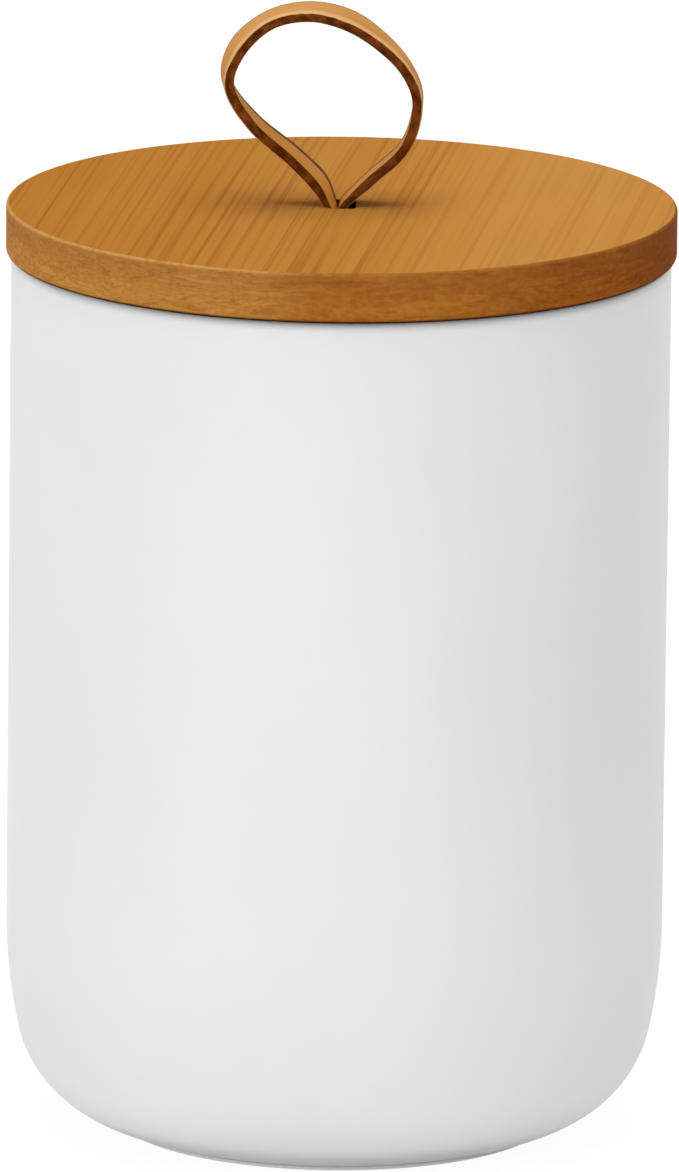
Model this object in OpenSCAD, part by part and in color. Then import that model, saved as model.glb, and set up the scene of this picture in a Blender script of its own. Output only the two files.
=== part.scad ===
// Ceramic storage jar with a bamboo lid and a leather lifting loop.
// Sizes are in millimetres. The jar stands on z = 0 with its axis on z; +x is right and +y is back.

/* [Jar body] */
// Outside diameter of the jar
body_d = 100; // [90:1:140]
// Height of the rim above the surface that the jar stands on
body_h = 134.7; // [90:0.1:200]
// Thickness of the side wall
wall_t = 4.5; // [3.5:0.1:7]
// Thickness of the floor
floor_t = 5; // [3:0.1:9]
// Outside radius between the side and the base
base_r = 18; // [10:0.5:30]
// Outside radius of the side's lowest part, which draws in towards the base
side_r = 79; // [46:1:120]
// Rise of that part above the middle of the base's radius
side_rise = 13; // [0:0.2:15]
// Radius of the rim's two edges
rim_r = 1.5; // [0.5:0.1:3]
// Outside diameter of the foot ring
foot_d = 66; // [40:1:76]
// Width of the foot ring
foot_w = 4; // [2:0.5:8]
// Height of the foot ring
foot_h = 0.7; // [0.4:0.1:3]

/* [Lid] */
// How far the lid board reaches past the side of the jar
lid_overhang = 0.8; // [0:0.1:5]
// Thickness of the lid board
lid_t = 7.8; // [5:0.1:15]
// Radius of the lid board's upper edge
lid_top_r = 0.6; // [0.3:0.1:2]
// Radius of the lid board's lower edge
lid_low_r = 1; // [0.3:0.1:2.5]
// Gap between the plug and the mouth of the jar
plug_gap = 2.5; // [1.5:0.1:4]
// Thickness of the plug under the lid board
plug_t = 9; // [8:0.5:16]
// Radius of the plug's lower edge
plug_edge_r = 1; // [0.3:0.1:1.4]

/* [Seal] */
// Height of the seal's band
seal_h = 5; // [4:0.1:6]
// Thickness of the seal's band, which lies in a groove round the plug
seal_t = 2; // [1:0.1:3]
// Thickness of each fin at its root
fin_t = 1.2; // [0.8:0.1:1.6]
// Thickness of each fin at its tip
fin_tip = 0.6; // [0.4:0.1:1.2]
// Rise of each fin from its root to its tip
fin_rise = 0.8; // [0.2:0.1:1]
// Gap between the fins and the mouth
fin_gap = 0.2; // [0.1:0.05:0.5]
// Gap between the seal and its groove
groove_gap = 0.05; // [0.02:0.01:0.1]

/* [Strap] */
// Width of the leather strap
strap_w = 6; // [4:0.5:10]
// Thickness of the leather strap
strap_t = 1.6; // [1:0.1:2.5]
// Width of the loop, along the middle of the strap
loop_w = 29; // [22:0.5:45]
// Height of the loop above the lid, along the middle of the strap
loop_h = 29.7; // [24:0.1:50]
// Flat length of each strap end under the plug
tail_l = 12; // [9:0.5:16]
// Gap between the two strap ends in the hole
strap_gap = 0.2; // [0.1:0.05:0.6]
// Room in the hole round the folded strap
hole_room = 0.5; // [0.2:0.1:2]
// Height above the lid of the line about which the loop leans
root_rise = 1; // [1:0.1:3]
// How far the loop's round root stands proud of the folded strap
root_skin = 0.15; // [0.05:0.05:0.3]
// Gap between the loop's root and the strap ends below it
root_gap = 0.25; // [0.1:0.05:0.5]

/* [Fasteners] */
// Depth of the recess under the plug that hides the strap ends
recess_h = 4.5; // [4:0.1:6]
// Room in the recess round the strap ends
recess_room = 1.5; // [1:0.1:3]
// Shank diameter of the screws
screw_d = 2.5; // [2:0.1:3]
// Screw length under the head
screw_l = 8; // [7:0.5:9]
// Diameter of the screw heads
head_d = 5; // [4:0.1:6]
// Height of the screw heads
head_h = 1.8; // [1.2:0.1:2]
// Diameter of the washers
washer_d = 6; // [5:0.1:7]
// Thickness of the washers
washer_t = 0.6; // [0.4:0.1:1]
// Gap between each screw and its hole
screw_gap = 0.05; // [0.02:0.01:0.1]

/* [Hidden] */
$fn = 96;

// Jar: radii, the height of its floor and the limited edge radius of its rim
body_r = body_d / 2;
mouth_r = body_r - wall_t;
floor_z = foot_h + floor_t;
rim_edge = min(rim_r, 0.45 * wall_t);
foot_r = foot_d / 2;
foot_edge = foot_h / 3;
// Middles of the two arcs between the side and the base, and the slope of the line through both
base_z = foot_h + base_r;
side_z = base_z + side_rise;
side_x = body_r - side_r;
base_x = side_x + sqrt((side_r - base_r) * (side_r - base_r) - side_rise * side_rise);
side_slope = atan2(side_rise, base_x - side_x);
// Height of the outside at the foot ring, so that the ring always meets it
corner_x = max(foot_r - base_x, 0);
foot_top = foot_h + base_r - sqrt(base_r * base_r - corner_x * corner_x) + floor_t / 2;

// Lid: heights and radii
lid_r = body_r + lid_overhang;
lid_top = body_h + lid_t;
plug_z = body_h - plug_t;
plug_r = mouth_r - plug_gap;
groove_r = plug_r - seal_t - groove_gap;
seal_z = plug_z + (plug_t - seal_h) / 2;
fin_r = mouth_r - fin_gap;

// Strap: its two thicknesses lie side by side in the hole
fold_w = 2 * strap_t + strap_gap;
strap_x = (strap_t + strap_gap) / 2;
root_z = lid_top + root_rise;
root_r = fold_w / 2 + root_skin;
edge_bevel = strap_t / 4;
recess_z = plug_z + recess_h;
// The strap folds just before it meets the hole's edge
bend_r = 0.8 * hole_room;
bend_x = fold_w / 2 + bend_r;
tail_end = bend_x + tail_l;
screw_x = bend_x + tail_l / 2;
washer_z = recess_z - strap_t;
head_z = washer_z - washer_t;
drive_w = head_d / 6;
drive_l = head_d * 0.6;
drive_h = head_h / 2;

// Middle line of the loop from its left root over the top to its right root. Each point is
// [across, up, flare]: shares of loop_w and loop_h, and how far the back edge leans outwards in degrees.
LOOP = [[-0.11, 0.115, -12], [-0.26, 0.25, -9], [-0.465, 0.42, -5], [-0.6, 0.62, 4],
        [-0.55, 0.81, 11], [-0.385, 0.955, 6], [-0.175, 1, 7], [0.03, 0.955, 10], [0.2, 0.845, 6],
        [0.33, 0.705, 2], [0.39, 0.535, 1], [0.33, 0.31, 1], [0.155, 0.145, 0]];
LOOP_STEPS = 4;

// Points of a smooth curve through a list, with its first and last points as lead-ins
function between(a, b, c, d, t) =
    (2 * b + (c - a) * t + (2 * a - 5 * b + 4 * c - d) * t * t + (3 * b - a - 3 * c + d) * t * t * t) / 2;
function smooth(list, steps) = [
    for (i = [1 : len(list) - 3], s = [0 : steps - 1])
        between(list[i - 1], list[i], list[i + 1], list[i + 2], s / steps),
    list[len(list) - 2]
];

// The loop's middle line in millimetres above the lid, from one side of its root to the other
loop_path = smooth(concat(
    [[-strap_x, -loop_h / 8, 0], [-strap_x, root_rise, 0]],
    [for (p = LOOP) [p[0] * loop_w, p[1] * loop_h, p[2]]],
    [[strap_x, root_rise, 0], [strap_x, -loop_h / 8, 0]]), LOOP_STEPS);

// Outline of the strap's section: width first, thickness second, with bevelled edges
strap_section = [
    for (c = [[-1, -1, 0], [1, -1, 1], [1, 1, 0], [-1, 1, 1]], k = [0, 1])
        let (along = (k == c[2]) ? 1 : 0)
            [c[0] * (strap_w / 2 - edge_bevel * (1 - along)), c[1] * (strap_t / 2 - edge_bevel * along)]
];

// Corners of the strap's section at one place on the loop's middle line
function strap_ring(path, i) =
    let (
        ahead = path[min(i + 1, len(path) - 1)],
        behind = path[max(i - 1, 0)],
        heading = atan2(ahead[1] - behind[1], ahead[0] - behind[0]),
        flare = path[i][2],
        outward = [-sin(heading), 0, cos(heading)],
        back = [0, 1, 0],
        across = back * cos(flare) + outward * sin(flare),
        through = outward * cos(flare) - back * sin(flare)
    )
    [for (s = strap_section) [path[i][0], 0, path[i][1]] + across * s[0] + through * s[1]];

// Half outline of a disc of revolution with rounded lower and upper edges
module half_disc(r, h, low_r, top_r) {
    intersection() {
        union() {
            translate([0, low_r])
                square([r, h - low_r - top_r]);
            square([r - low_r, h - top_r]);
            translate([r - low_r, low_r])
                circle(low_r);
            if (top_r > 0) {
                translate([0, h - 2 * top_r])
                    square([r - top_r, 2 * top_r]);
                translate([r - top_r, h - top_r])
                    circle(top_r);
            }
        }
        square([r, h]);
    }
}

// Half outline of the jar's body, inset from its outside, between two heights
module half_body(inset, bottom, top) {
    difference() {
        translate([0, bottom])
            square([body_r - inset, top - bottom]);
        difference() {
            translate([base_x, 0])
                square([body_r, side_z]);
            translate([side_x, side_z])
                circle(side_r - inset);
        }
        difference() {
            translate([base_x, 0])
                square([body_r, base_z - (base_r - inset) * sin(side_slope)]);
            translate([base_x, base_z])
                circle(base_r - inset);
        }
    }
}

// Prism with round ends that runs along x, centred on the z axis, from z = 0
module slot(length, width, height) {
    for (side = [-1, 1])
        translate([side * (length - width) / 2, 0, 0])
            cylinder(d = width, h = height);
    translate([-(length - width) / 2, -width / 2, 0])
        cube([length - width, width, height]);
}

// Cutter for the strap's hole, which keeps its room all round the folded strap
module strap_hole(z, h) {
    translate([-fold_w / 2 - hole_room, -strap_w / 2, z])
        cube([fold_w + 2 * hole_room, strap_w, h]);
    translate([-fold_w / 2, -strap_w / 2 - hole_room, z])
        cube([fold_w, strap_w + 2 * hole_room, h]);
    for (x = [-1, 1], y = [-1, 1])
        translate([x * fold_w / 2, y * strap_w / 2, z])
            cylinder(r = hole_room, h = h);
}

// Round cutter along z at both screws
module at_screws(z, d, h) {
    for (side = [-1, 1])
        translate([side * screw_x, 0, z])
            cylinder(d = d, h = h);
}

// Flat cross section of the strap end on the right: down the hole, round the bend and along the recess
module tail_outline() {
    translate([strap_gap / 2, recess_z + bend_r])
        square([strap_t, root_z - recess_z - bend_r]);
    intersection() {
        translate([bend_x, recess_z + bend_r])
            difference() {
                circle(bend_r + strap_t);
                circle(bend_r);
            }
        translate([strap_gap / 2, recess_z - strap_t])
            square([bend_x - strap_gap / 2, bend_r + strap_t]);
    }
    translate([bend_x, recess_z - strap_t])
        square([tail_l, strap_t]);
}

// One strap end, with a round tip, a screw hole and a hollow top in which the loop's root turns
module strap_tail() {
    difference() {
        intersection() {
            rotate([90, 0, 0])
                linear_extrude(strap_w, center = true)
                    tail_outline();
            translate([0, 0, plug_z])
                slot(2 * tail_end, strap_w, root_z - plug_z);
        }
        translate([0, 0, root_z])
            rotate([90, 0, 0])
                cylinder(r = root_r + root_gap, h = 2 * strap_w, center = true);
        at_screws(plug_z, screw_d + 2 * screw_gap, plug_t);
    }
}

module jar_body() {
    color([0.93, 0.93, 0.92])
        rotate_extrude() {
            difference() {
                union() {
                    half_body(0, foot_h, body_h - rim_edge);
                    translate([foot_r - foot_w, foot_edge])
                        square([foot_w, foot_top - foot_edge]);
                    translate([foot_r - foot_w + foot_edge, 0])
                        square([foot_w - 2 * foot_edge, foot_top]);
                    for (x = [foot_r - foot_w + foot_edge, foot_r - foot_edge])
                        translate([x, foot_edge])
                            circle(foot_edge);
                }
                half_body(wall_t, floor_z, 2 * body_h);
            }
            translate([mouth_r + rim_edge, body_h - 2 * rim_edge])
                square([wall_t - 2 * rim_edge, 2 * rim_edge]);
            for (x = [mouth_r + rim_edge, body_r - rim_edge])
                translate([x, body_h - rim_edge])
                    circle(rim_edge);
        }
}

module seal_ring() {
    color([0.88, 0.88, 0.86])
        rotate_extrude() {
            translate([groove_r + groove_gap, seal_z])
                square([seal_t, seal_h]);
            for (z = [seal_z, seal_z + seal_h - fin_t - fin_rise])
                translate([0, z])
                    polygon([[plug_r - seal_t / 2, 0], [plug_r, 0], [fin_r, fin_rise],
                             [fin_r, fin_rise + fin_tip], [plug_r, fin_t], [plug_r - seal_t / 2, fin_t]]);
        }
}

module lid_board() {
    color([0.72, 0.46, 0.2])
        difference() {
            translate([0, 0, body_h])
                rotate_extrude()
                    half_disc(lid_r, lid_t, lid_low_r, lid_top_r);
            strap_hole(body_h - lid_t, 3 * lid_t);
            at_screws(head_z, screw_d + 2 * screw_gap, screw_l + screw_gap);
        }
}

module lid_plug() {
    color([0.78, 0.56, 0.3])
        difference() {
            translate([0, 0, plug_z])
                rotate_extrude()
                    difference() {
                        half_disc(plug_r, plug_t, plug_edge_r, 0);
                        translate([groove_r, seal_z - plug_z - groove_gap])
                            square([plug_r, seal_h + 2 * groove_gap]);
                    }
            strap_hole(plug_z - plug_t, 3 * plug_t);
            translate([0, 0, plug_z - recess_h])
                slot(2 * (tail_end + recess_room), strap_w + 2 * recess_room, 2 * recess_h);
            at_screws(head_z, screw_d + 2 * screw_gap, screw_l + screw_gap);
        }
}

module strap_loop() {
    n = len(loop_path);
    m = len(strap_section);
    points = [for (i = [0 : n - 1]) each strap_ring(loop_path, i)];
    sides = [
        for (i = [0 : n - 2], j = [0 : m - 1])
            let (a = i * m + j, b = i * m + (j + 1) % m)
                each [[a, a + m, b], [b, a + m, b + m]]
    ];
    ends = [
        for (j = [1 : m - 2])
            each [[0, j, j + 1], [(n - 1) * m, (n - 1) * m + j + 1, (n - 1) * m + j]]
    ];
    color([0.66, 0.42, 0.19])
        union() {
            translate([0, 0, lid_top])
                polyhedron(points, concat(sides, ends));
            translate([0, 0, root_z])
                rotate([90, 0, 0])
                    cylinder(r = root_r, h = strap_w, center = true);
        }
}

module strap_tail_left() {
    color([0.66, 0.42, 0.19])
        mirror([1, 0, 0])
            strap_tail();
}

module strap_tail_right() {
    color([0.66, 0.42, 0.19])
        strap_tail();
}

module strap_washers() {
    color([0.75, 0.75, 0.76])
        difference() {
            at_screws(head_z, washer_d, washer_t);
            at_screws(head_z - washer_t, screw_d + 2 * screw_gap, 3 * washer_t);
        }
}

module strap_screws() {
    color([0.78, 0.78, 0.79])
        for (side = [-1, 1])
            translate([side * screw_x, 0, head_z]) {
                cylinder(d = screw_d, h = screw_l);
                difference() {
                    mirror([0, 0, 1])
                        rotate_extrude()
                            half_disc(head_d / 2, head_h, screw_gap, head_h / 2);
                    for (turn = [0, 90])
                        rotate(turn)
                            translate([-drive_l / 2, -drive_w / 2, -head_h - drive_h])
                                cube([drive_l, drive_w, 2 * drive_h]);
                }
            }
}

jar_body();
seal_ring();
lid_board();
lid_plug();
strap_loop();
strap_tail_left();
strap_tail_right();
strap_washers();
strap_screws();
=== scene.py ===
# Looks of the ceramic storage jar, built around its frame, in metres: +X is right, +Y is back, +Z is up
import math

import bpy
from mathutils import Matrix, Vector


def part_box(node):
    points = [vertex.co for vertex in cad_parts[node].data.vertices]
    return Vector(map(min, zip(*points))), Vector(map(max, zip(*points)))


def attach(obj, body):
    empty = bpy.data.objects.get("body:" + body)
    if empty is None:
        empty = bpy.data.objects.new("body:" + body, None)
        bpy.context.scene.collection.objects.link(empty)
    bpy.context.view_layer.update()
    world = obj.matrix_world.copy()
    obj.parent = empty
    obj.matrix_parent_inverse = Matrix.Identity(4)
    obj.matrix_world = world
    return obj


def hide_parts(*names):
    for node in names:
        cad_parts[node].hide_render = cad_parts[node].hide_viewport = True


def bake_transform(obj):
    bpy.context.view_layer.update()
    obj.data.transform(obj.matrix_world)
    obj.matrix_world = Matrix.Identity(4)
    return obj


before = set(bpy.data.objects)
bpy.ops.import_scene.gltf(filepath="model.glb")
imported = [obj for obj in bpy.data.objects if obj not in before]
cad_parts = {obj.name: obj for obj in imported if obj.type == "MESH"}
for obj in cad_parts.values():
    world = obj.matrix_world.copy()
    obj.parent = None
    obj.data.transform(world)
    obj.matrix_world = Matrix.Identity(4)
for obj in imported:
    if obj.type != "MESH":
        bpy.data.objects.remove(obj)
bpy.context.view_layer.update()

MM = 0.001

# Jar body, measured on its node where its box gives the size
_, JAR_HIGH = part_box("jar_body")
JAR_R = JAR_HIGH.x
JAR_TOP = JAR_HIGH.z
WALL = 4.5 * MM
FLOOR_Z = 5.7 * MM
RIM_R = 1.5 * MM
# The base is an arc from the foot up, then a wider arc with a higher middle, which ends in the straight side
BASE_R = 18 * MM
SIDE_R = 79 * MM
SIDE_RISE = 13 * MM
# The foot ring, its rounded lip, and the fine groove above the lip
FOOT_R = 33 * MM
FOOT_W = 4 * MM
FOOT_H = 0.7 * MM
FOOT_EDGE = 0.1 * MM
LIP_R = 0.2 * MM
LIP_H = 0.48 * MM
GROOVE = 0.3 * MM

# Lid board
LID_LOW, LID_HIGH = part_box("lid_board")
LID_R = LID_HIGH.x
LID_BOTTOM = LID_LOW.z
LID_TOP = LID_HIGH.z
LID_TOP_R = 0.6 * MM
LID_LOW_R = 1 * MM
# The strap's hole: half its width and depth, how square its corners are, and its bevel
HOLE_X = 2 * MM
HOLE_Y = 3.5 * MM
HOLE_SQUARENESS = 7
HOLE_BEVEL = 0.2 * MM

# Seal: a ring with two fins that slope upwards, each with a round tip between two angles in degrees
SEAL_LOW, SEAL_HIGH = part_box("seal_ring")
SEAL_IN = 41 * MM
SEAL_T = 2 * MM
SEAL_EDGE = 0.3 * MM
FIN_T = 1.2 * MM
FIN_TIP = 0.6 * MM
FIN_RISE = 0.8 * MM
FIN_UNDER = 0.05 * MM
FIN_OVER = 0.12 * MM
FIN_ROUND = (-70, 110)

# Leather strap: its section, its two round ends under the lid and the loop above it
TAIL_LOW, TAIL_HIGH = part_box("strap_tail_right")
STRAP_W = 6 * MM
STRAP_T = 1.6 * MM
STRAP_EDGE = 0.45 * MM
STRAP_X = 0.9 * MM
BEND_R = 1.2 * MM
TIP_SHARE = 0.1
LOOP_W = 29 * MM
LOOP_H = 29.57 * MM
# Points of the loop: shares of its width and height, and how far its back edge leans outwards in degrees
LOOP = [(-0.26, 0.25, -9), (-0.465, 0.42, -5), (-0.6, 0.62, 4), (-0.55, 0.81, 11),
        (-0.385, 0.955, 6), (-0.175, 1, 7), (0.03, 0.955, 10), (0.2, 0.845, 6),
        (0.33, 0.705, 2), (0.39, 0.535, 1), (0.33, 0.31, 1)]
# Where each arm leaves the hole: millimetres across and above the lid, and the same lean
LEFT_ROOT = [(-0.9, -4.5, 0), (-0.9, -3, 0), (-1.25, -1.4, -4), (-1.85, 0.25, -9), (-3.55, 3.4, -12)]
RIGHT_ROOT = [(4.65, 4.3, 1), (2.1, 1.95, 1), (0.4, 0.25, 0), (0.1, -1, 0), (0.9, -3, 0), (0.9, -4.5, 0)]
# The hole squeezes the leather to this share of its thickness, which fades over this height
PINCH = 0.68
PINCH_H = 4 * MM

# Soft edges of the nodes that keep their own mesh
PLUG_EDGE = 0.2 * MM
STEEL_EDGE = 0.08 * MM
EDGE_ANGLE = math.radians(40)

# How finely shapes are drawn: steps round the axis, along the profiles and along the strap
TURNS = 192
EDGE_STEPS = 6
FLAT_STEPS = 6
RIM_STEPS = 8
SIDE_STEPS = 12
BASE_STEPS = 32
INNER_SIDE_STEPS = 10
INNER_BASE_STEPS = 18
LID_EDGE_STEPS = 10
LID_SIDE_STEPS = 4
LID_FLAT_STEPS = 8
FIN_STEPS = 8
STRAP_CORNER_STEPS = 4
STRAP_END_STEPS = 8
STRAP_HOLE_STEPS = 6
LOOP_STEPS = 14
NORMAL_WEIGHT = 50

# Marks on the lid's round edges: the points at which the side's colour and the painted shade on the low edge
# end, and how many points each of them fades over
SIDE_END = 9
SHADE_END = 8
FADE_POINTS = 3

# Camera: the point it looks at, its place round that point, and the scale of the picture
FRAME_H = 1172
PIXELS_PER_MM = 6.58
CAMERA_AIM = Vector((0.25, 0, 83.15)) * MM
CAMERA_DISTANCE = 3.0
CAMERA_ELEVATION = math.radians(12.95)
CAMERA_ROLL = math.radians(0.62)
CAMERA_SENSOR = 36

# Lights: name, place, width, depth and power in watts
LIGHT_AIM = Vector((0, 0, 0.08))
LIGHTS = [("left", (-1.2, -0.6, 0.62), 0.96, 0.96, 3.4),
          ("front", (0, -1.344, 0.62), 0.96, 0.96, 0.9),
          ("right", (1.11, -0.75, 0.62), 0.96, 0.96, 2.9),
          ("low left", (-0.8, -1.2, 0.16), 1, 0.28, 3.1),
          ("low front", (0, -1.4, 0.16), 1, 0.28, 2.2),
          ("back left", (-0.845, 1.007, 0.69), 0.96, 0.96, 2.7),
          ("back right", (0.845, 1.007, 0.69), 0.96, 0.96, 2.7),
          ("overhead", (0, 0, 1.5), 1.5, 1.3, 16.6)]
AMBIENT = 0.15

# Floor: its width, its grey and roughness, and the strength and share of the white glow that the camera sees
FLOOR_SIZE = 8
FLOOR_GREY = 0.8
FLOOR_ROUGHNESS = 0.9
FLOOR_GLOW = 1.05
FLOOR_WHITE = 0.9


# Colours

def srgb(red, green, blue):
    """A display colour, 0 to 255, as the linear colour that shaders take."""
    linear = []
    for part in (red, green, blue):
        value = part / 255
        linear.append(value / 12.92 if value <= 0.04045 else ((value + 0.055) / 1.055) ** 2.4)
    return (*linear, 1.0)


# A pair holds the two colours that a surface varies between, and wood adds the colour of its dark lines
WHITE = srgb(255, 255, 255)
GLAZE = (srgb(236, 236, 236), srgb(240, 240, 240))
# Painted shade: the grey that the glaze takes just above the foot
GLAZE_SHADE_ABOVE_FOOT = srgb(208, 208, 207)
CLAY = (srgb(248, 247, 245), srgb(254, 253, 251))
LID_WOOD = (srgb(188, 130, 59), srgb(194, 137, 66), srgb(166, 106, 40))
# The lid top's tint at the left, which goes to white at the right as a painted sheen
LID_TOP_LEFT_TINT = srgb(234, 221, 168)
# Lit and shaded copies of the side's wood: its darkening from left to right is painted shade
LID_SIDE_LEFT = (srgb(180, 119, 51), srgb(202, 141, 70))
LID_SIDE_FRONT = (srgb(155, 91, 26), srgb(183, 115, 44))
LID_SIDE_RIGHT = (srgb(138, 73, 18), srgb(170, 99, 35))
LID_SIDE_FAR = srgb(112, 46, 0)
LID_SIDE_HIGH = srgb(122, 78, 40)
LID_SWIRL = srgb(132, 78, 26)
# The upper edge's colour: partly real wear, partly a painted highlight
LID_EDGE_WEAR_HIGHLIGHT = srgb(214, 160, 92)
# Painted shade on the lid's low edge and on its hole's wall
LID_PAINTED_SHADE = srgb(44, 19, 6)
PLUG_WOOD = (srgb(196, 146, 82), srgb(222, 176, 112), srgb(168, 116, 60))
HIDE = (srgb(180, 118, 49), srgb(198, 138, 65))
# Painted sheen: the paler hide at the loop's top
HIDE_SHEEN = srgb(205, 151, 88)
# The outer front corner: partly a burnished edge, partly a painted highlight
HIDE_CORNER_HIGHLIGHT = srgb(234, 188, 130)
SUEDE = (srgb(196, 133, 45), srgb(211, 147, 60))
CUT_LEATHER = (srgb(80, 34, 6), srgb(132, 72, 24))
RUBBER = (srgb(222, 222, 216), srgb(236, 236, 231))
PLATED = (srgb(176, 176, 178), srgb(204, 204, 205))

# Where looks change, from one place to another in millimetres
GLAZE_STARTS = (0.45, 0.65)
# Heights over which the painted shade above the foot fades into the glaze
SHADE_ABOVE_FOOT_FADES = (2, 5.5)
LINES_GROW = (-24, -12)
LINES_FADE = (9, 14)
# Across the lid, where the painted sheen on its top grows
TOP_SHEEN_GROWS = (-45, 60)
# Across the lid, where the painted shade on its side deepens
SIDE_TO_FRONT = (-18, 0)
SIDE_TO_RIGHT = (16, 36)
SIDE_TO_FAR = (38, 52)
SIDE_TO_TOP = (LID_BOTTOM / MM + 2, LID_TOP / MM - 1)
SWIRLS_FADE = (-8, 8)
# Across the lid, where the upper edge's wear and painted highlight fade
EDGE_HIGHLIGHT_FADES = (-25, 5)
# On the leather: along it to the loop's top, away from there as the painted sheen fades, and across it to
# its front or back edge
LOOP_TOP_ALONG = 66
HIDE_SHEEN_FADES = (18, 3)
FRONT_CORNER = (-1, -2.7)
INNER_BACK_DARKENS = (1.2, 1.8)
BACK_EDGE = (2, 2.6)

# How far the grain is turned from the direction from front to back
GRAIN_YAW = math.radians(7)

# Noise lies mostly between these two values
NOISE = (0.3, 0.7)


# Node graphs

def join(tree, value, socket):
    """Links a socket to another node's output, or sets it."""
    if isinstance(value, bpy.types.NodeSocket):
        tree.links.new(value, socket)
    else:
        socket.default_value = value


def add(tree, kind, inputs=None, **settings):
    """Adds a node with these settings and inputs."""
    node = tree.nodes.new(kind)
    for name, value in settings.items():
        setattr(node, name, value)
    for name, value in (inputs or {}).items():
        join(tree, value, node.inputs[name])
    return node


def math_node(tree, operation, *values):
    """One arithmetic step."""
    return add(tree, "ShaderNodeMath", dict(enumerate(values)), operation=operation).outputs[0]


def times(tree, first, *others):
    """The product of some values."""
    for other in others:
        first = math_node(tree, "MULTIPLY", first, other)
    return first


def weighted(tree, total, *parts):
    """A value with others added to it, each of which is given with its weight."""
    for value, weight in parts:
        total = math_node(tree, "MULTIPLY_ADD", value, weight, total)
    return total


def blend_colour(tree, factor, first, second, how="MIX"):
    """Goes from the first colour to the second one as factor goes from 0 to 1."""
    node = add(tree, "ShaderNodeMix", {0: factor, 6: first, 7: second}, data_type="RGBA", blend_type=how)
    return node.outputs[2]


def step(tree, value, low, high, start=0.0, end=1.0):
    """Goes smoothly from start to end as value goes from low to high."""
    inputs = {"Value": value, "From Min": low, "From Max": high, "To Min": start, "To Max": end}
    return add(tree, "ShaderNodeMapRange", inputs, interpolation_type="SMOOTHSTEP").outputs[0]


def noise(tree, vector, scale, detail=2.0, roughness=0.5, distortion=0.0):
    """Noise in a space stretched by scale, which holds features per unit along each axis."""
    stretched = add(tree, "ShaderNodeMapping", {"Vector": vector, "Scale": scale}).outputs[0]
    inputs = {"Vector": stretched, "Scale": 1.0, "Detail": detail, "Roughness": roughness,
              "Distortion": distortion}
    return add(tree, "ShaderNodeTexNoise", inputs).outputs[0]


def own_space(tree, turn=0.0):
    """Millimetres in the piece's own space, turned about its axis."""
    place = add(tree, "ShaderNodeTexCoord").outputs["Object"]
    inputs = {"Vector": place, "Rotation": (0, 0, turn), "Scale": (1 / MM, 1 / MM, 1 / MM)}
    return add(tree, "ShaderNodeMapping", inputs).outputs[0]


def parts_of(tree, vector):
    """The three parts of a vector."""
    return add(tree, "ShaderNodeSeparateXYZ", {0: vector}).outputs


def attribute(tree, name, output="Fac"):
    """A value that the mesh holds at each of its points."""
    return add(tree, "ShaderNodeAttribute", attribute_name=name).outputs[output]


def bump(tree, height, strength, depth):
    """Normals of a surface with this relief, whose full depth is in metres."""
    inputs = {"Height": height, "Strength": strength, "Distance": depth}
    return add(tree, "ShaderNodeBump", inputs).outputs[0]


def new_material(name):
    """A material with its node tree and its main shader."""
    material = bpy.data.materials.new(name)
    material.use_nodes = True
    tree = material.node_tree
    return material, tree, tree.nodes["Principled BSDF"]


# Materials

def ceramic():
    """Satin white glaze with a faint orange peel, greyed just above the foot by painted shade, whose lip is
    bare clay.
    """
    material, tree, shader = new_material("glazed_ceramic")
    place = own_space(tree)
    height = parts_of(tree, place)["Z"]
    clouds = noise(tree, place, (0.03, 0.03, 0.02), detail=3)
    peel = noise(tree, place, (0.35, 0.35, 0.3), detail=2)
    grit = noise(tree, place, (6, 6, 6), detail=3)
    glazed = step(tree, weighted(tree, height, (grit, 0.1)), *GLAZE_STARTS)
    glaze = blend_colour(tree, step(tree, clouds, *NOISE), *GLAZE)
    # Painted shade: the glaze greys just above the foot
    glaze = blend_colour(tree, step(tree, height, *SHADE_ABOVE_FOOT_FADES), GLAZE_SHADE_ABOVE_FOOT, glaze)
    clay = blend_colour(tree, grit, *CLAY)
    join(tree, blend_colour(tree, glazed, clay, glaze), shader.inputs["Base Color"])
    rough = step(tree, clouds, *NOISE, 0.42, 0.48)
    rougher = step(tree, glazed, 0, 1, 0.35, 0)
    join(tree, math_node(tree, "ADD", rough, rougher), shader.inputs["Roughness"])
    relief = weighted(tree, peel, (grit, 0.03))
    join(tree, bump(tree, relief, 0.12, 0.04 * MM), shader.inputs["Normal"])
    return material


def wood_grain(tree, deep, pale, dark):
    """Straight grain of bands, streaks, fibres and dark lines: its colour, tone from 0 to 1 and relief."""
    place = own_space(tree, GRAIN_YAW)
    across = parts_of(tree, place)["X"]
    bands = noise(tree, place, (0.06, 0.002, 0.1), detail=1)
    streaks = noise(tree, place, (0.35, 0.006, 0.5), detail=2)
    fibres = noise(tree, place, (2.6, 0.03, 3), detail=2)
    thin = noise(tree, place, (1.1, 0.006, 0.5), detail=1)
    clusters = noise(tree, place, (0.12, 0.012, 0.1), detail=1)
    tone = weighted(tree, 0, (bands, 0.4), (streaks, 0.35), (fibres, 0.25))
    tone = step(tree, tone, 0.35, 0.65)
    left = step(tree, across, *LINES_GROW, 0.8, 0.95)
    right = step(tree, across, *LINES_FADE, 1, 0.42)
    grouped = step(tree, clusters, 0.35, 0.65, 0.5, 1)
    lines = times(tree, step(tree, thin, 0.48, 0.66), grouped, left, right)
    colour = blend_colour(tree, tone, deep, pale)
    colour = blend_colour(tree, lines, colour, dark)
    relief = weighted(tree, fibres, (lines, -0.5))
    return colour, tone, relief


def finish_wood(tree, shader, colour, tone, relief):
    """A dry oiled finish over the grain."""
    join(tree, colour, shader.inputs["Base Color"])
    join(tree, step(tree, tone, 0, 1, 0.75, 0.65), shader.inputs["Roughness"])
    shader.inputs["Specular IOR Level"].default_value = 0.02
    join(tree, bump(tree, relief, 0.25, 0.04 * MM), shader.inputs["Normal"])


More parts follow.
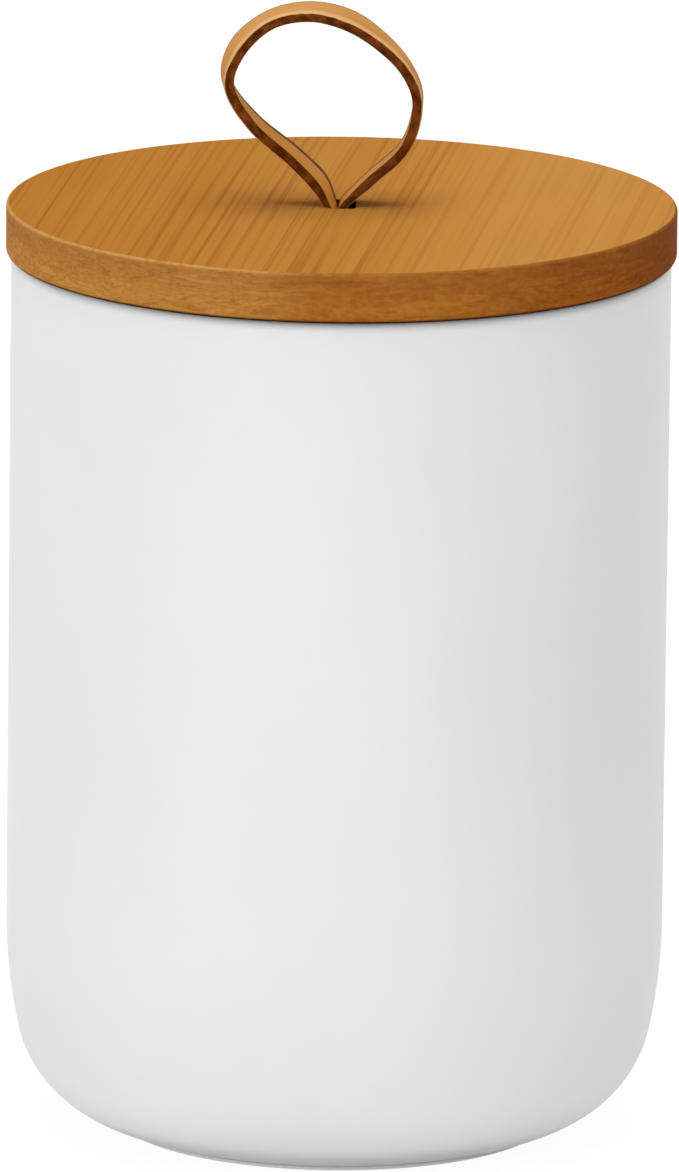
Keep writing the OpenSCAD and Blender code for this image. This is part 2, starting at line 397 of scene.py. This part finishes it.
def lid_side(tree, place, specks):
    """The lid's mottled side with swirls: tan at the left, deepening to a red brown at the right as painted
    shade.
    """
    across, _, height = parts_of(tree, place)
    marks = noise(tree, place, (0.13, 0.13, 0.75), detail=4, roughness=0.6, distortion=1.2)
    mottle = weighted(tree, 0, (marks, 0.6), (specks, 0.4))
    mottle = step(tree, mottle, 0.34, 0.66)
    left = blend_colour(tree, mottle, *LID_SIDE_LEFT)
    front = blend_colour(tree, mottle, *LID_SIDE_FRONT)
    right = blend_colour(tree, mottle, *LID_SIDE_RIGHT)
    # Painted shade: the side deepens from the lit left to the shaded right
    side = blend_colour(tree, step(tree, across, *SIDE_TO_FRONT), left, front)
    side = blend_colour(tree, step(tree, across, *SIDE_TO_RIGHT), side, right)
    side = blend_colour(tree, step(tree, across, *SIDE_TO_FAR, 0, 0.7), side, LID_SIDE_FAR)
    waves = math_node(tree, "SINE", times(tree, marks, 38))
    swirls = times(tree, step(tree, waves, 0.2, 0.9), step(tree, across, *SWIRLS_FADE, 0.34, 0.14))
    side = blend_colour(tree, swirls, side, LID_SWIRL)
    rise = step(tree, height, *SIDE_TO_TOP)
    return blend_colour(tree, times(tree, rise, 0.22), side, LID_SIDE_HIGH)


def lid_bamboo():
    """The lid's bamboo: a painted sheen that pales the top to the right, a mottled side with painted shade
    deepening to the right, upper edges with wear and a painted highlight, and painted shade on the lower
    edges and in the hole.
    """
    material, tree, shader = new_material("bamboo")
    top, tone, relief = wood_grain(tree, *LID_WOOD)
    place = own_space(tree)
    across = parts_of(tree, place)["X"]
    specks = noise(tree, place, (0.9, 0.9, 1.3), detail=3, roughness=0.6)
    # Painted sheen: the top pales towards the right
    shade = blend_colour(tree, step(tree, across, *TOP_SHEEN_GROWS), LID_TOP_LEFT_TINT, WHITE)
    top = blend_colour(tree, 1.0, top, shade, "MULTIPLY")
    colour = blend_colour(tree, attribute(tree, "side"), top, lid_side(tree, place, specks))
    # Painted shade on the low edge and the hole's wall
    colour = blend_colour(tree, attribute(tree, "dark"), colour, LID_PAINTED_SHADE)
    chipped = step(tree, specks, 0.3, 0.55, 0.4, 1)
    # Partly wear, partly a painted highlight on the upper edge, strongest at the left
    wear_and_highlight = times(tree, attribute(tree, "wear_and_highlight"), step(tree, across, *EDGE_HIGHLIGHT_FADES, 0.7, 0.05), chipped)
    colour = blend_colour(tree, wear_and_highlight, colour, LID_EDGE_WEAR_HIGHLIGHT)
    finish_wood(tree, shader, colour, tone, relief)
    return material


def plug_bamboo():
    """The paler sanded bamboo under the lid."""
    material, tree, shader = new_material("bamboo_plug")
    colour, tone, relief = wood_grain(tree, *PLUG_WOOD)
    finish_wood(tree, shader, colour, tone, relief)
    return material


def leather_face(tree, flat, out, nap):
    """The strap's two faces: suede inside, and hide outside with a painted sheen at the loop's top and a
    front corner that is partly burnished and partly a painted highlight.
    """
    along, wide, _ = parts_of(tree, flat)
    clouds = noise(tree, flat, (0.22, 0.35, 0.35), detail=3)
    from_top = math_node(tree, "ABSOLUTE", math_node(tree, "SUBTRACT", along, LOOP_TOP_ALONG))
    hide = blend_colour(tree, step(tree, clouds, *NOISE), *HIDE)
    # Painted sheen: the hide pales towards the loop's top
    hide = blend_colour(tree, step(tree, from_top, *HIDE_SHEEN_FADES, 0, 0.75), hide, HIDE_SHEEN)
    suede = blend_colour(tree, step(tree, nap, *NOISE), *SUEDE)
    face = blend_colour(tree, step(tree, out, -0.2, 0.2), suede, hide)
    # Partly burnished, partly a painted highlight along the outer front corner
    corner = times(tree, step(tree, wide, *FRONT_CORNER), step(tree, out, 0.35, 0.7), 0.6)
    return blend_colour(tree, corner, face, HIDE_CORNER_HIGHLIGHT)


def leather_edge(tree, flat, out):
    """1 on the strap's dark cut edges and along the back of its inner face, and 0 elsewhere."""
    wide = parts_of(tree, flat)["Y"]
    edge = times(tree, step(tree, attribute(tree, "cut"), 0.2, 0.45), step(tree, out, 0.72, 0.5))
    # Darker along the back of the inner face
    back_line = times(tree, step(tree, wide, *INNER_BACK_DARKENS), step(tree, out, 0.2, -0.2))
    back_line = math_node(tree, "MAXIMUM", back_line, step(tree, wide, *BACK_EDGE, 0, 0.6))
    return math_node(tree, "MAXIMUM", edge, back_line)


def leather():
    """Tan leather with a fine grain, a soft nap and dark stained edges."""
    material, tree, shader = new_material("leather")
    flat = attribute(tree, "flat", "Vector")
    grain = noise(tree, flat, (3, 3, 3), detail=4, roughness=0.6)
    nap = noise(tree, flat, (1.2, 4, 4), detail=4, roughness=0.65)
    stain = noise(tree, flat, (0.5, 0.9, 0.9), detail=4, roughness=0.6)
    ragged = noise(tree, flat, (1.1, 1.5, 1.5), detail=3)
    out = weighted(tree, attribute(tree, "out"), (math_node(tree, "SUBTRACT", ragged, 0.5), 0.35))
    dark = blend_colour(tree, step(tree, stain, 0.35, 0.7), *CUT_LEATHER)
    face = leather_face(tree, flat, out, nap)
    join(tree, blend_colour(tree, leather_edge(tree, flat, out), face, dark), shader.inputs["Base Color"])
    join(tree, step(tree, grain, *NOISE, 0.5, 0.64), shader.inputs["Roughness"])
    shader.inputs["Specular IOR Level"].default_value = 0.03
    relief = weighted(tree, grain, (nap, 0.5))
    join(tree, bump(tree, relief, 0.3, 0.05 * MM), shader.inputs["Normal"])
    return material


def silicone():
    """Milky soft rubber with a faint bloom."""
    material, tree, shader = new_material("silicone")
    place = own_space(tree)
    bloom = noise(tree, place, (0.4, 0.4, 0.6), detail=3)
    grain = noise(tree, place, (5, 5, 5), detail=2)
    join(tree, blend_colour(tree, step(tree, bloom, *NOISE), *RUBBER), shader.inputs["Base Color"])
    join(tree, step(tree, bloom, *NOISE, 0.32, 0.45), shader.inputs["Roughness"])
    shader.inputs["Subsurface Weight"].default_value = 0.35
    shader.inputs["Subsurface Radius"].default_value = (1, 1, 0.9)
    shader.inputs["Subsurface Scale"].default_value = 1.2 * MM
    join(tree, bump(tree, grain, 0.15, 0.03 * MM), shader.inputs["Normal"])
    return material


def steel():
    """Plated steel with fine turning marks."""
    material, tree, shader = new_material("steel")
    place = own_space(tree)
    marks = noise(tree, place, (7, 7, 30), detail=3)
    smudge = noise(tree, place, (0.6, 0.6, 0.6), detail=2)
    join(tree, blend_colour(tree, step(tree, smudge, *NOISE), *PLATED), shader.inputs["Base Color"])
    shader.inputs["Metallic"].default_value = 1.0
    join(tree, step(tree, marks, *NOISE, 0.25, 0.4), shader.inputs["Roughness"])
    join(tree, bump(tree, marks, 0.15, 0.02 * MM), shader.inputs["Normal"])
    return material


# Meshes

def arc(middle_r, middle_z, radius, start, end, steps):
    """Points of an arc in the plane of radius and height, between two angles in degrees."""
    points = []
    for i in range(steps + 1):
        angle = math.radians(start + (end - start) * i / steps)
        points.append((middle_r + radius * math.cos(angle), middle_z + radius * math.sin(angle)))
    return points


def line(start, end, steps):
    """Points between two points, without the points themselves."""
    return [tuple(a + (b - a) * i / steps for a, b in zip(start, end)) for i in range(1, steps)]


def smooth(points, steps):
    """A curve through a list of points, with its first and last points as lead-ins."""
    curve = []
    for a, b, c, d in zip(points, points[1:], points[2:], points[3:]):
        for i in range(steps):
            t = i / steps
            curve.append(tuple((2 * q + (r - p) * t + (2 * p - 5 * q + 4 * r - s) * t * t
                                + (3 * q - p - 3 * r + s) * t ** 3) / 2 for p, q, r, s in zip(a, b, c, d)))
    curve.append(points[-2])
    return curve


def new_piece(name, points, faces, material, marks=None):
    """A smooth mesh object. marks holds a value for each point under a name."""
    mesh = bpy.data.meshes.new(name)
    mesh.from_pydata(points, [], faces)
    mesh.validate()
    for label, values in (marks or {}).items():
        if isinstance(values[0], float):
            layer = mesh.attributes.new(label, "FLOAT", "POINT")
            layer.data.foreach_set("value", values)
        else:
            layer = mesh.attributes.new(label, "FLOAT_VECTOR", "POINT")
            layer.data.foreach_set("vector", [part for value in values for part in value])
    mesh.polygons.foreach_set("use_smooth", [True] * len(mesh.polygons))
    mesh.materials.append(material)
    piece = bpy.data.objects.new(name, mesh)
    bpy.context.scene.collection.objects.link(piece)
    return piece


def weigh_normals(piece):
    """Keeps flat faces flat beside their rounded edges."""
    piece.modifiers.new("normals", "WEIGHTED_NORMAL").weight = NORMAL_WEIGHT


def turned(name, profile, material, marks=None, outline=None):
    """A profile turned about the axis. A point on the axis closes that end, and otherwise it is a ring.
    outline, where it is given, says how far from the axis a point of some radius lies at some angle."""
    points, faces, rings = [], [], []
    values = {label: [] for label in marks or {}}
    for i, (radius, height) in enumerate(profile):
        count = TURNS if radius > 0 else 1
        rings.append((len(points), count))
        for k in range(count):
            angle = 2 * math.pi * k / TURNS
            reach = outline(radius, angle) if outline else radius
            points.append((reach * math.cos(angle), reach * math.sin(angle), height))
        for label in values:
            values[label] += [float(marks[label][i])] * count
    pairs = list(zip(rings, rings[1:]))
    if rings[0][1] > 1:
        pairs.append((rings[-1], rings[0]))
    for (low, low_count), (high, high_count) in pairs:
        for k in range(TURNS):
            after = (k + 1) % TURNS
            corners = [low + k % low_count, low + after % low_count]
            corners += [high + after % high_count, high + k % high_count]
            faces.append(list(dict.fromkeys(corners)))
    return new_piece(name, points, faces, material, values)


def tube_faces(rings, count):
    """The faces of a tube of rings with count points each, closed at both ends."""
    faces = []
    for i in range(rings - 1):
        for k in range(count):
            after = (k + 1) % count
            faces.append((i * count + k, i * count + after, (i + 1) * count + after, (i + 1) * count + k))
    faces.append(tuple(range(count))[::-1])
    faces.append(tuple(range((rings - 1) * count, rings * count)))
    return faces


# Jar

def jar_profile():
    """The jar from the middle of its underside, round foot, side and rim, to the middle of its floor."""
    foot_in = FOOT_R - FOOT_W
    fillet = FOOT_H / 2
    groove_r = FOOT_R - GROOVE
    mouth = JAR_R - WALL
    rim_z = JAR_TOP - RIM_R
    base_z = FOOT_H + BASE_R
    side_z = base_z + SIDE_RISE
    side_x = JAR_R - SIDE_R
    base_x = side_x + math.sqrt((SIDE_R - BASE_R) ** 2 - SIDE_RISE ** 2)
    slope = math.degrees(math.atan2(SIDE_RISE, base_x - side_x))
    foot_angle = math.degrees(math.acos((groove_r - base_x) / BASE_R))
    floor_angle = math.degrees(math.asin((base_z - FLOOR_Z) / (BASE_R - WALL)))
    points = [(0, FOOT_H)]
    points += line((0, FOOT_H), (foot_in - fillet, FOOT_H), FLAT_STEPS)
    points += arc(foot_in - fillet, FOOT_H - fillet, fillet, 90, 0, EDGE_STEPS)
    points += arc(foot_in + FOOT_EDGE, FOOT_EDGE, FOOT_EDGE, 180, 270, EDGE_STEPS)
    points += arc(FOOT_R - FOOT_EDGE, FOOT_EDGE, FOOT_EDGE, 270, 360, EDGE_STEPS)
    points += arc(FOOT_R - LIP_R, LIP_H - LIP_R, LIP_R, 0, 90, EDGE_STEPS)
    points += [(groove_r, LIP_H)]
    points += arc(base_x, base_z, BASE_R, -foot_angle, -slope, BASE_STEPS)
    points += arc(side_x, side_z, SIDE_R, -slope, 0, SIDE_STEPS)[1:]
    points += line((JAR_R, side_z), (JAR_R, rim_z), SIDE_STEPS)
    points += arc(JAR_R - RIM_R, rim_z, RIM_R, 0, 90, RIM_STEPS)
    points += arc(mouth + RIM_R, rim_z, RIM_R, 90, 180, RIM_STEPS)
    points += line((mouth, rim_z), (mouth, side_z), SIDE_STEPS)
    points += arc(side_x, side_z, SIDE_R - WALL, 0, -slope, INNER_SIDE_STEPS)
    points += arc(base_x, base_z, BASE_R - WALL, -slope, -floor_angle, INNER_BASE_STEPS)[1:]
    points += line(points[-1], (0, FLOOR_Z), FLAT_STEPS)
    points += [(0, FLOOR_Z)]
    return points


def make_jar(material):
    """The ceramic body."""
    jar = turned("jar", jar_profile(), material)
    weigh_normals(jar)
    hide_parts("jar_body")
    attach(jar, "jar")


# Lid and seal

def hole_outline(radius, angle):
    """Turns the innermost rings of the lid into the outline of the strap's hole."""
    if radius > HOLE_Y + HOLE_BEVEL:
        return radius
    bevel = radius - HOLE_Y
    wide = abs(math.cos(angle)) / (HOLE_X + bevel)
    deep = abs(math.sin(angle)) / (HOLE_Y + bevel)
    return (wide ** HOLE_SQUARENESS + deep ** HOLE_SQUARENESS) ** (-1 / HOLE_SQUARENESS)


def fade_out(points, end):
    """A mark for each point of an edge: 1 at first, then falling to 0 at the point numbered end."""
    return [min(max((end - i) / FADE_POINTS, 0), 1) for i in range(len(points))]


def lid_marks(under, low_edge, rim, top_edge, top):
    """Marks for the points of the lid's profile: its side, its upper edge's wear with a painted highlight,
    and the painted shade in the hole and on the low edge.
    """
    side = [0] * len(under) + [1] * len(low_edge + rim) + fade_out(top_edge, SIDE_END) + [0] * len(top)
    wear_and_highlight = [0] * len(under + low_edge + rim)
    wear_and_highlight += [math.sin(math.pi * i / LID_EDGE_STEPS) ** 2 for i in range(len(top_edge))] + [0] * len(top)
    # Painted shade in the hole and on the low edge
    dark = [1] + [0] * len(under[1:]) + fade_out(low_edge, SHADE_END)
    dark += [0] * len(rim + top_edge + top[:-1]) + [1]
    return {"side": side, "wear_and_highlight": wear_and_highlight, "dark": dark}


def make_lid(material):
    """The bamboo board with its rounded edges and the hole for the strap."""
    hole = HOLE_Y + HOLE_BEVEL
    under = [(HOLE_Y, LID_BOTTOM + HOLE_BEVEL), (hole, LID_BOTTOM)]
    under += line((hole, LID_BOTTOM), (LID_R - LID_LOW_R, LID_BOTTOM), FLAT_STEPS)
    low_edge = arc(LID_R - LID_LOW_R, LID_BOTTOM + LID_LOW_R, LID_LOW_R, -90, 0, LID_EDGE_STEPS)
    rim = line(low_edge[-1], (LID_R, LID_TOP - LID_TOP_R), LID_SIDE_STEPS)
    top_edge = arc(LID_R - LID_TOP_R, LID_TOP - LID_TOP_R, LID_TOP_R, 0, 90, LID_EDGE_STEPS)
    top = line(top_edge[-1], (hole, LID_TOP), LID_FLAT_STEPS)
    top += [(hole, LID_TOP), (HOLE_Y, LID_TOP - HOLE_BEVEL)]
    profile = under + low_edge + rim + top_edge + top
    board = turned("lid", profile, material, lid_marks(under, low_edge, rim, top_edge, top), hole_outline)
    weigh_normals(board)
    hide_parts("lid_board")
    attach(board, "lid")


def make_seal(material):
    """The rubber ring with two soft fins."""
    out = SEAL_IN + SEAL_T
    tip = FIN_TIP / 2
    points = [(SEAL_IN, SEAL_HIGH.z - SEAL_EDGE), (SEAL_IN, SEAL_LOW.z + SEAL_EDGE)]
    points += [(SEAL_IN + SEAL_EDGE, SEAL_LOW.z)]
    for low in (SEAL_LOW.z, SEAL_HIGH.z - FIN_T - FIN_RISE):
        points += [(out - SEAL_EDGE, low), (out, low + FIN_UNDER)]
        points += arc(SEAL_HIGH.x - tip, low + FIN_RISE + tip, tip, *FIN_ROUND, FIN_STEPS)
        points += [(out + SEAL_EDGE, low + FIN_T + FIN_OVER), (out, low + FIN_T + SEAL_EDGE)]
    points += [(out, SEAL_HIGH.z - SEAL_EDGE), (out - SEAL_EDGE, SEAL_HIGH.z)]
    points += [(SEAL_IN + SEAL_EDGE, SEAL_HIGH.z)]
    seal = turned("seal", points, material)
    weigh_normals(seal)
    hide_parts("seal_ring")
    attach(seal, "seal")


# Strap

def strap_path():
    """The strap's middle line as (x, z, flare): from its left end, up the hole, round the loop and back."""
    flat_z = TAIL_LOW.z + STRAP_T / 2
    bend_x = STRAP_X + BEND_R
    bend_z = flat_z + BEND_R
    loop = [(x * LOOP_W, LID_TOP + z * LOOP_H, flare) for x, z, flare in LOOP]
    left = [(x * MM, LID_TOP + z * MM, flare) for x, z, flare in LEFT_ROOT]
    right = [(x * MM, LID_TOP + z * MM, flare) for x, z, flare in RIGHT_ROOT]
    end = []
    for i in range(STRAP_END_STEPS + 1):
        inwards = 1 - math.cos(math.pi / 2 * i / STRAP_END_STEPS)
        end.append((TAIL_HIGH.x - STRAP_W / 2 * inwards, flat_z))
    end += line(end[-1], (bend_x, flat_z), STRAP_END_STEPS)
    end += arc(bend_x, bend_z, BEND_R, -90, -180, STRAP_END_STEPS)
    end += line((STRAP_X, bend_z), (STRAP_X, left[1][1]), STRAP_HOLE_STEPS)
    left_end = [(-x, z, 0) for x, z in end]
    right_end = [(x, z, 0) for x, z in end[::-1]]
    return left_end + smooth(left + loop + right, LOOP_STEPS) + right_end


def strap_section():
    """Points round the strap's section as (across, through, normal across, normal through)."""
    section = []
    for side, face in ((1, -1), (1, 1), (-1, 1), (-1, -1)):
        for i in range(STRAP_CORNER_STEPS + 1):
            share = i / STRAP_CORNER_STEPS if side == face else 1 - i / STRAP_CORNER_STEPS
            angle = math.pi / 2 * share
            away, up = side * math.cos(angle), face * math.sin(angle)
            section.append((side * (STRAP_W / 2 - STRAP_EDGE) + STRAP_EDGE * away,
                            face * (STRAP_T / 2 - STRAP_EDGE) + STRAP_EDGE * up, away, up))
        if side == face:
            for share in (0.5, 0, -0.5):
                section.append((side * share * STRAP_W / 2, face * STRAP_T / 2, 0.0, float(face)))
    return section


def strap_directions(path, i):
    """The directions across the strap and through it at one point of its path."""
    ahead = path[min(i + 1, len(path) - 1)]
    behind = path[max(i - 1, 0)]
    heading = math.atan2(ahead[1] - behind[1], ahead[0] - behind[0])
    lean = math.radians(path[i][2])
    back = Vector((0, 1, 0))
    outward = Vector((-math.sin(heading), 0, math.cos(heading)))
    across = back * math.cos(lean) + outward * math.sin(lean)
    through = outward * math.cos(lean) - back * math.sin(lean)
    return across, through


def strap_shares(x, z):
    """The strap's shares of its full width and thickness: round at its ends and squeezed in the hole."""
    narrow = 1.0
    from_tip = (TAIL_HIGH.x - abs(x)) / (STRAP_W / 2)
    if z < LID_BOTTOM and from_tip < 1:
        narrow = max(math.sqrt(max(1 - (1 - from_tip) ** 2, 0)), TIP_SHARE)
    free = min(abs(z - LID_TOP) / PINCH_H, 1)
    thin = PINCH + (1 - PINCH) * free * free * (3 - 2 * free)
    return narrow, thin


def make_strap(material):
    """One leather strip: both its ends lie under the lid and the loop stands above it."""
    path = strap_path()
    section = strap_section()
    points, flat, cut, out = [], [], [], []
    along = 0
    for i, (x, z, _) in enumerate(path):
        behind = path[max(i - 1, 0)]
        along += math.hypot(x - behind[0], z - behind[1])
        across, through = strap_directions(path, i)
        narrow, thin = strap_shares(x, z)
        for wide, thick, away, up in section:
            points.append(Vector((x, 0, z)) + across * wide * narrow + through * thick * thin)
            flat.append((along / MM, wide / MM, thick / MM))
            cut.append(float(abs(away)))
            out.append(float(up))
    faces = tube_faces(len(path), len(section))
    strap = new_piece("strap", points, faces, material, {"flat": flat, "cut": cut, "out": out})
    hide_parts("strap_loop", "strap_tail_left", "strap_tail_right")
    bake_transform(strap)


# Nodes that keep their own mesh

def dress(node, material, edge):
    """Gives a node of the frame its material and soft edges."""
    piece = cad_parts[node]
    piece.data.materials.clear()
    piece.data.materials.append(material)
    bevel = piece.modifiers.new("edges", "BEVEL")
    bevel.width = edge
    bevel.segments = 2
    bevel.limit_method = "ANGLE"
    bevel.angle_limit = EDGE_ANGLE


# Stage

def seen_directly(tree):
    """1 for rays from the camera and for what glossy and clear surfaces show."""
    path = add(tree, "ShaderNodeLightPath").outputs
    seen = math_node(tree, "MAXIMUM", path["Is Camera Ray"], path["Is Glossy Ray"])
    return math_node(tree, "MAXIMUM", seen, path["Is Transmission Ray"])


def make_floor():
    """A pale floor that shows white and keeps a faint shadow."""
    half = FLOOR_SIZE / 2
    corners = [(-half, -half, 0), (half, -half, 0), (half, half, 0), (-half, half, 0)]
    material, tree, shader = new_material("floor")
    shader.inputs["Base Color"].default_value = (FLOOR_GREY, FLOOR_GREY, FLOOR_GREY, 1)
    shader.inputs["Roughness"].default_value = FLOOR_ROUGHNESS
    white = add(tree, "ShaderNodeEmission", {"Strength": FLOOR_GLOW}).outputs[0]
    factor = times(tree, seen_directly(tree), FLOOR_WHITE)
    mixed = add(tree, "ShaderNodeMixShader", {0: factor, 1: shader.outputs[0], 2: white}).outputs[0]
    join(tree, mixed, tree.nodes["Material Output"].inputs["Surface"])
    floor = new_piece("floor", corners, [(0, 1, 2, 3)], material)


def make_world():
    """A white surround that lights the object gently."""
    world = bpy.data.worlds.new("surround")
    bpy.context.scene.world = world
    world.use_nodes = True
    tree = world.node_tree
    background = tree.nodes["Background"]
    background.inputs["Color"].default_value = WHITE
    join(tree, step(tree, seen_directly(tree), 0, 1, AMBIENT, 1), background.inputs["Strength"])


def make_lights():
    """Large soft lamps that face the jar."""
    for name, place, width, depth, power in LIGHTS:
        lamp = bpy.data.lights.new(name, "AREA")
        lamp.shape = "ELLIPSE"
        lamp.size = width
        lamp.size_y = depth
        lamp.energy = power
        light = bpy.data.objects.new(name, lamp)
        light.location = place
        light.rotation_euler = (LIGHT_AIM - Vector(place)).to_track_quat("-Z", "Y").to_euler()
        light.visible_camera = False
        bpy.context.scene.collection.objects.link(light)


def make_camera():
    """The camera at the photograph's viewing angle."""
    lens = bpy.data.cameras.new("camera")
    lens.sensor_width = CAMERA_SENSOR
    lens.lens = PIXELS_PER_MM / MM * CAMERA_DISTANCE * CAMERA_SENSOR / FRAME_H
    camera = bpy.data.objects.new("camera", lens)
    away = Vector((0, -math.cos(CAMERA_ELEVATION), math.sin(CAMERA_ELEVATION)))
    turn = Matrix.Rotation(math.pi / 2 - CAMERA_ELEVATION, 4, "X") @ Matrix.Rotation(CAMERA_ROLL, 4, "Z")
    camera.matrix_world = Matrix.Translation(CAMERA_AIM + away * CAMERA_DISTANCE) @ turn
    bpy.context.scene.collection.objects.link(camera)
    bpy.context.scene.camera = camera


make_camera()
make_world()
make_lights()
make_floor()
make_jar(ceramic())
make_seal(silicone())
make_lid(lid_bamboo())
make_strap(leather())
dress("lid_plug", plug_bamboo(), PLUG_EDGE)
metal = steel()
dress("strap_washers", metal, STEEL_EDGE)
dress("strap_screws", metal, STEEL_EDGE)

bpy.context.scene.view_settings.view_transform = "Standard"
